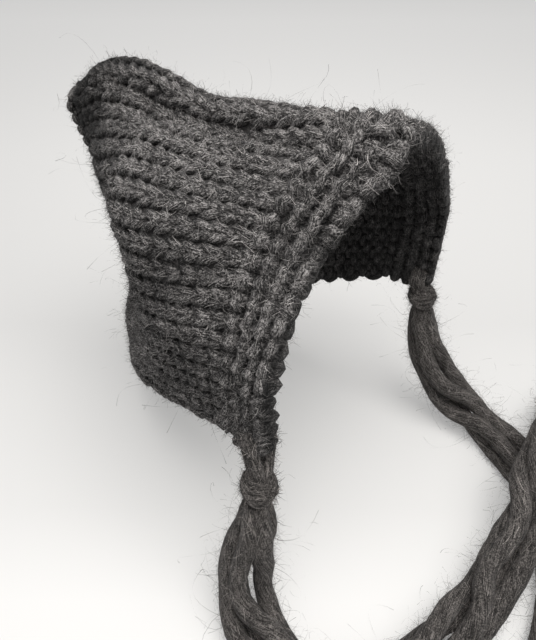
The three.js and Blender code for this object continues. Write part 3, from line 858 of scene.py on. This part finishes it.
def even_route(points, step):
    """Evenly spaced points of a smooth curve, and how far along it each one is."""
    fine = spline([points], np.linspace(0, 1, 40 * len(points)))[0]
    run = travelled(fine)
    places = np.linspace(0, run[-1], max(2, round(run[-1] / step)) + 1)
    return np.array([np.interp(places, run, fine[:, axis]) for axis in range(3)]).T, places


def side_frames(path, side):
    """Two directions square to a path at each of its points, carried along it without twist."""
    ways = unit(np.gradient(path, axis=0))
    side = np.asarray(side, float)
    sides = []
    for way in ways:
        side = unit(side - way * side.dot(way))
        sides.append(side)
    sides = np.array(sides)
    return sides, np.cross(ways, sides)


def loose_lines(path, run, spread, rng):
    """Loose strands along a path. They wind round each other slowly, and their spread follows its table.
    Every other one is a point shorter."""
    side, front = side_frames(path, CAMERA_RIGHT)
    half = np.interp(run, spread[0], spread[1])
    lines = []
    for strand in range(STRANDS):
        phases = rng.uniform(0, 2 * math.pi, 4)
        waves = rng.uniform(*STRAND_WAVES, 4)
        drift = sum(np.sin(2 * math.pi * run / waves[i] + phases[i]) for i in range(2))
        rise = sum(np.sin(2 * math.pi * run / waves[i] + phases[i]) for i in range(2, 4))
        angle = 2 * math.pi * (strand / STRANDS - run / STRAND_TWIST) + STRAND_DRIFT * drift + STRAND_START
        reach = half * (1.0 + STRAND_RISE * rise)
        points = (path + side * (reach * np.cos(angle))[:, None]
                  + front * (STRAND_FLATTENING * reach * np.sin(angle))[:, None])
        points[:, 2] = np.maximum(points[:, 2], FLOOR + STRAND_RADIUS)
        points = points[:len(points) - strand % 2]
        lines.append((points, np.zeros_like(points)))
    return lines


def tie_axis(cloth, side, route):
    """The corner of the band that a tie is drawn through, and the direction from it to the knot."""
    edge = 0.0 if side == "right" else 1.0
    ends = cloth.place([0.0, CORNER_DEPTH], [edge, edge])[0]
    corner = ends.mean(axis=0)
    return corner, unit(np.asarray(route[0]) - corner)


def middle_of(node):
    low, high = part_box(node)
    return (np.array(low) + np.array(high)) / 2 / MM


def knot_lines(centre, axis, seed):
    """The turns of an overhand knot, as strands that wind round the tie."""
    rng = np.random.default_rng(seed)
    side, front = side_frames(np.array([centre, centre + axis]), CAMERA_RIGHT)
    side, front = side[0], front[0]
    lines = []
    for strand in range(KNOT_STRANDS):
        start = rng.uniform(-0.4, 0.4)
        turns = np.linspace(0, 2 * math.pi * KNOT_TURNS, 30) + start
        level = (strand - (KNOT_STRANDS - 1) / 2) * KNOT_PITCH
        bulge = KNOT_RADIUS * (1.0 - 0.09 * (level / KNOT_PITCH) ** 2)
        lean = level + KNOT_LEAN * np.sin(turns + 0.5) + 0.25 * np.sin(3 * turns + strand)
        points = (centre + side * (bulge * 1.08 * np.cos(turns))[:, None]
                  + front * (bulge * np.sin(turns))[:, None] + axis * lean[:, None])
        lines.append((points, np.zeros_like(points)))
    return lines


def drawn_lines(cloth, side, corner, axis, knot):
    """The strands that go up from the knot outside the band's edge, through it and down again inside."""
    edge = 0.0 if side == "right" else 1.0
    inwards = 1.0 if side == "right" else -1.0
    lines = []
    for strand in range(DRAWN_STRANDS):
        along = DRAWN_PLACES[0] + DRAWN_PLACES[1] * strand
        reach = DRAWN_REACH[0] + DRAWN_REACH[1] * (strand % 2)
        hole = edge + inwards * reach
        outside, out = cloth.place([along, along], [edge, hole], DRAWN_HEIGHTS)
        inside = cloth.place([along, along], [hole, edge], [DRAWN_INSIDE, DRAWN_INSIDE])[0]
        through = cloth.place([along], [edge + inwards * (reach + 0.012)], [0.6])[0]
        shift = unit(np.cross(axis, out[0])) * (strand - (DRAWN_STRANDS - 1) / 2)
        low = knot - axis * 0.5 + shift
        high = knot - axis * DRAWN_RISE + shift * 1.1
        points = [low + out[0] * 0.9, high + out[0] * 1.2, *outside, *through, *inside,
                  high - out[0] * 1.2, low - out[0] * 0.9]
        points = even_route(points, 0.8)[0]
        lines.append((points, np.zeros_like(points)))
    return lines


def seam_lines(cloth):
    """The sewn edge down the back: a chain along each layer and slanting stitches over both."""
    share = np.linspace(*SEAM_SHARES, SEAM_POINTS)
    right = cloth.place(np.ones(SEAM_POINTS), 0.5 - share)[0]
    left = cloth.place(np.ones(SEAM_POINTS), 0.5 + share)[0]
    middle = (right + left) / 2
    down = unit(np.gradient(middle, axis=0))
    back = unit(np.cross([1.0, 0.0, 0.0], down))
    run = travelled(middle)
    turns = 2 * math.pi * run / SEAM_PITCH
    across = np.array([1.0, 0.0, 0.0])
    height = 0.6 + 1.7 * np.cos(turns) ** 2 + 0.3 * np.sin(0.37 * turns)
    slant = 1.1 * np.cos(turns)
    sewn = (middle + across * (SEAM_HALF * np.sin(turns))[:, None] + back * height[:, None]
            + down * slant[:, None])
    lines = [(sewn, back)]
    for sign, edge in ((-1.0, right), (1.0, left)):
        chain = 0.9 * np.sin(turns * 1.3)
        bulge = 0.2 + 0.5 * np.cos(turns * 2.6)
        points = edge + across * (sign * (CHAIN_OUT + chain))[:, None] + back * bulge[:, None]
        lines.append((points, unit(back + across * sign * 0.7)))
    return lines


def ground_shell(cloth):
    """A thin closed sheet at the middle of the knit."""
    along = np.linspace(*GROUND_ALONG, GROUND_STEPS[0] + 1)
    round_ = np.linspace(*GROUND_ROUND, GROUND_STEPS[1] + 1)
    grid = np.meshgrid(along, round_, indexing="ij")
    outer = cloth.place(grid[0], grid[1], GROUND_HALF)[0]
    inner = cloth.place(grid[0], grid[1], -GROUND_HALF)[0]
    wide = len(round_)
    count = outer.shape[0] * wide
    points = np.concatenate([outer.reshape(-1, 3), inner.reshape(-1, 3)]) * MM
    faces = []
    for i in range(GROUND_STEPS[0]):
        for j in range(GROUND_STEPS[1]):
            a = i * wide + j
            b, c, d = a + wide, a + wide + 1, a + 1
            faces += [(a, b, c, d), (a + count, d + count, c + count, b + count)]
        for j in (0, wide - 1):
            a = i * wide + j
            rim = (a, a + count, a + wide + count, a + wide)
            faces.append(rim if j == 0 else rim[::-1])
    last = GROUND_STEPS[0] * wide
    for j in range(GROUND_STEPS[1]):
        faces.append((j, j + 1, j + 1 + count, j + count))
        faces.append((last + j, last + j + count, last + j + 1 + count, last + j + 1))
    mesh = bpy.data.meshes.new("knit_ground")
    mesh.from_pydata(points.tolist(), [], faces)
    mesh.update()
    for polygon in mesh.polygons:
        polygon.use_smooth = True
    return linked("knit_ground", mesh)


def yarn_piece(name, lines, radius, sides, unevenness, material):
    source = line_object(name + "_line", lines)
    piece = grown(YARN_TREE, source, name, {
        "Radius": radius * MM, "Sides": sides, "Unevenness": unevenness, "Material": material})
    bpy.data.objects.remove(source)
    return piece


def fibre_piece(name, source, count, seed, look, material, slot):
    """About so many fibres on a yarn piece."""
    area = sum(polygon.area for polygon in source.data.polygons)
    values = {"Density": count / area / look["outside"], "Seed": seed, "Material": material}
    values.update({key: value for key, value in look.items() if key != "outside"})
    return finish_piece(grown(FIBRE_TREE, source, name, values), slot)


def finish_piece(piece, slot, *nodes):
    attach(piece, "root")
    if nodes:
        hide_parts(*nodes)
    return piece


def make_tie(cloth, side):
    """One tie: its strands, its knot, the loop through the band's corner, and the fibres of all three."""
    route = TIE_ROUTES[side]
    corner, axis = tie_axis(cloth, side, route)
    middle = middle_of(f"tie_knot_{side}")
    start = middle + axis * TIE_START
    below = [start, start + axis * TIE_ENTRY, *route]
    path = even_route(below, TIE_STEP)[0]
    inner, run = even_route([middle - axis, *below], TIE_STEP)
    bundle = loose_lines(inner, run, TIE_SPREAD[side], np.random.default_rng(5))
    strands = yarn_piece(f"tie_strands_{side}", bundle, STRAND_RADIUS, 12, STRAND_UNEVENNESS, tie_wool)
    finish_piece(strands, "tie_wool", f"tie_{side}")
    wraps = knot_lines(middle, axis, 7)
    knot = yarn_piece(f"knot_wraps_{side}", wraps, KNOT_YARN, 10, WRAP_UNEVENNESS, tie_wool)
    finish_piece(knot, "tie_wool", f"tie_knot_{side}")
    drawn = drawn_lines(cloth, side, corner, axis, middle)
    loop = yarn_piece(f"drawn_loop_{side}", drawn, DRAWN_YARN, 10, WRAP_UNEVENNESS, tie_wool)
    finish_piece(loop, "tie_wool", f"tie_loop_{side}")
    fuzz = [fibre_piece(f"{name}_{side}", source, count, seed, look, material, "tie_wool")
            for name, source, count, seed, look, material in (
                ("tie_fibres", strands, 9500, 11, STRAND_FIBRES, tie_fibre),
                ("tie_stray", strands, 750, 12, TIE_HALO, stray_fibre),
                ("tie_hairs", strands, 170, 15, TIE_HAIRS, stray_fibre),
                ("knot_fibres", knot, 500, 13, KNOT_FIBRES, tie_fibre),
                ("loop_fibres", loop, 600, 14, LOOP_FIBRES, tie_fibre))]
    tuple(start * MM)


YARN_TREE = yarn_tree()
FIBRE_TREE = fibre_tree()

charcoal = wool_material("charcoal_wool", CHARCOAL_SHADES)
tie_wool = wool_material("tie_wool", TIE_SHADES, twist=110.0, streak=130.0, fine=6500.0, inner=ALL_LIT)
seam_wool = wool_material("seam_wool", SEAM_SHADES, inner=ALL_LIT)
charcoal_fibre = fibre_material("charcoal_fibre", CHARCOAL_FIBRE_SHADES)
tie_fibre = fibre_material("tie_fibre", TIE_FIBRE_SHADES)
stray_fibre = fibre_material("stray_fibre", STRAY_FIBRE_SHADES)

make_camera()
make_floor(floor_material())
make_light()
hood = Cloth()

for tie_side in ("right", "left"):
    make_tie(hood, tie_side)

ground = ground_shell(hood)
ground.data.materials.append(ground_material())
finish_piece(ground, "charcoal_wool", "hood_body")
on_ground = []

BAND_SHARE = BAND_WIDTH / HOOD_DEPTH
half_way = (BAND_SHARE + 1.0) / 2
for name, first, last, seed, spread in (("front", BAND_SHARE, half_way, 21, 0.36),
                                        ("back", half_way, BACK_EDGE, 22, 0.6)):
    lines = knit_lines(hood, first, last, BODY_COURSES // 2, BODY_LOOP, STITCH_FACING, seed)
    knit = yarn_piece(f"knit_body_{name}", lines, BODY_YARN, 7, YARN_UNEVENNESS, charcoal)
    on_ground.append(finish_piece(knit, "charcoal_wool"))
    for label, count, offset, look, material in (
            ("fibres", 20500, 10, BODY_FIBRES | {"Spread": spread}, charcoal_fibre),
            ("halo", 2450, 20, HALO_FIBRES, charcoal_fibre),
            ("stray", 110, 30, STRAY_FIBRES, stray_fibre)):
        on_ground.append(fibre_piece(f"body_{label}_{name}", knit, count, seed + offset, look, material,
                                     "charcoal_wool"))

lines = knit_lines(hood, FRONT_EDGE, BAND_SHARE, BAND_COURSES, BAND_LOOP, GARTER_FACING, 31,
                   uneven=BAND_UNEVENNESS, edge=BAND_EDGE)
band = yarn_piece("knit_band", lines, BAND_YARN, 7, YARN_UNEVENNESS, charcoal)
on_ground.append(finish_piece(band, "charcoal_wool", "face_band"))
on_ground += [
    fibre_piece("band_fibres", band, 12000, 41, BAND_FIBRES, charcoal_fibre, "charcoal_wool"),
    fibre_piece("band_halo", band, 1300, 42, HALO_FIBRES, charcoal_fibre, "charcoal_wool"),
]

seam = yarn_piece("seam_stitches", seam_lines(hood), SEAM_YARN, 8, 0.25, seam_wool)
on_ground.append(finish_piece(seam, "charcoal_wool", "back_seam"))
on_ground.append(fibre_piece("seam_fibres", seam, 700, 51, SEAM_FIBRES, charcoal_fibre, "charcoal_wool"))
